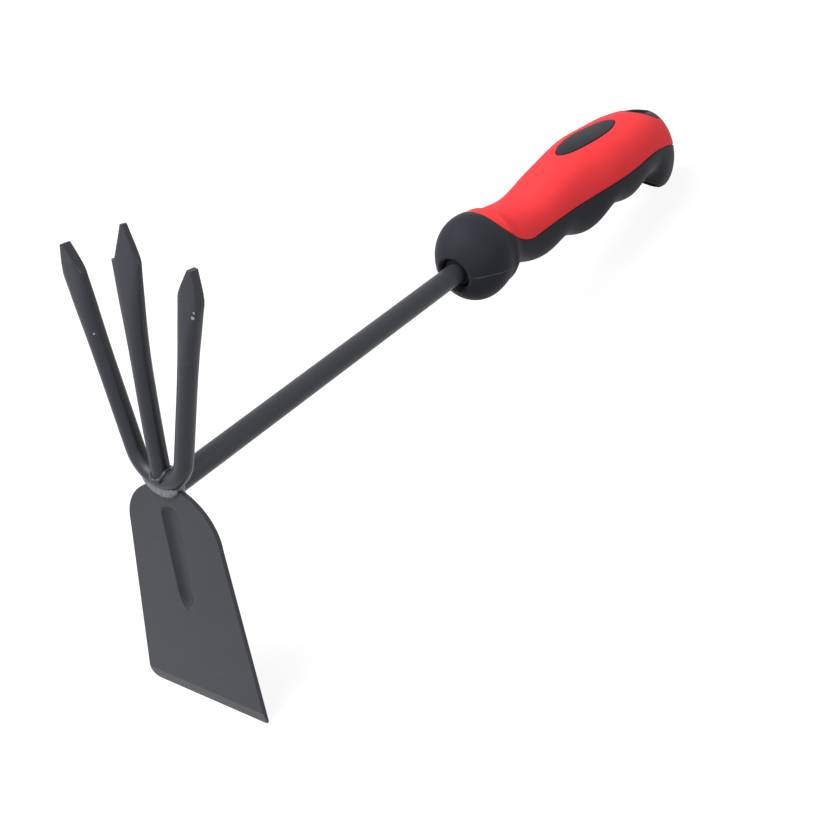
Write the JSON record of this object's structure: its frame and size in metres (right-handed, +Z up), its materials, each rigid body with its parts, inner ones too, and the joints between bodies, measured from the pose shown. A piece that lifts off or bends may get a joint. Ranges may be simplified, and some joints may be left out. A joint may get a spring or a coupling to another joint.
{
  "type": "hand cultivator",
  "caption": "Short two-headed garden hand tool: flat hoe blade on one side, pronged cultivator on the other, round steel bar and soft moulded grip with a ball guard.",
  "frame": {"origin": "bottom centre of the bounding box, on the surface that the tool stands on: it rests on the cutting edge of the hoe blade and on the pommel", "axes": "+X from the steel head to the butt of the handle, +Y across the tool, +Z up, towards the points of the tines"},
  "size_m": [0.3238, 0.0592, 0.1613],
  "materials": {
    "painted_steel": "satin powder coat, dark grey",
    "weld_bead": "rippled bead under thin coat, dark grey",
    "core_plastic": "moulded, fine matt",
    "black_rubber": "soft moulded elastomer, matt",
    "red_rubber": "soft moulded elastomer, silky"
  },
  "bodies": {
    "root": {"hoe_blade": "painted_steel", "outer_tines": "painted_steel", "centre_tine": "painted_steel", "shaft": "painted_steel", "weld_shaft_head": "weld_bead", "weld_blade_front": "weld_bead", "weld_centre_tine": "weld_bead", "handle_core": "core_plastic", "grip_body": "black_rubber", "grip_shell": "red_rubber", "thumb_inlay": "black_rubber", "hang_hole_sleeve": "black_rubber"}
  },
  "joints": []
}
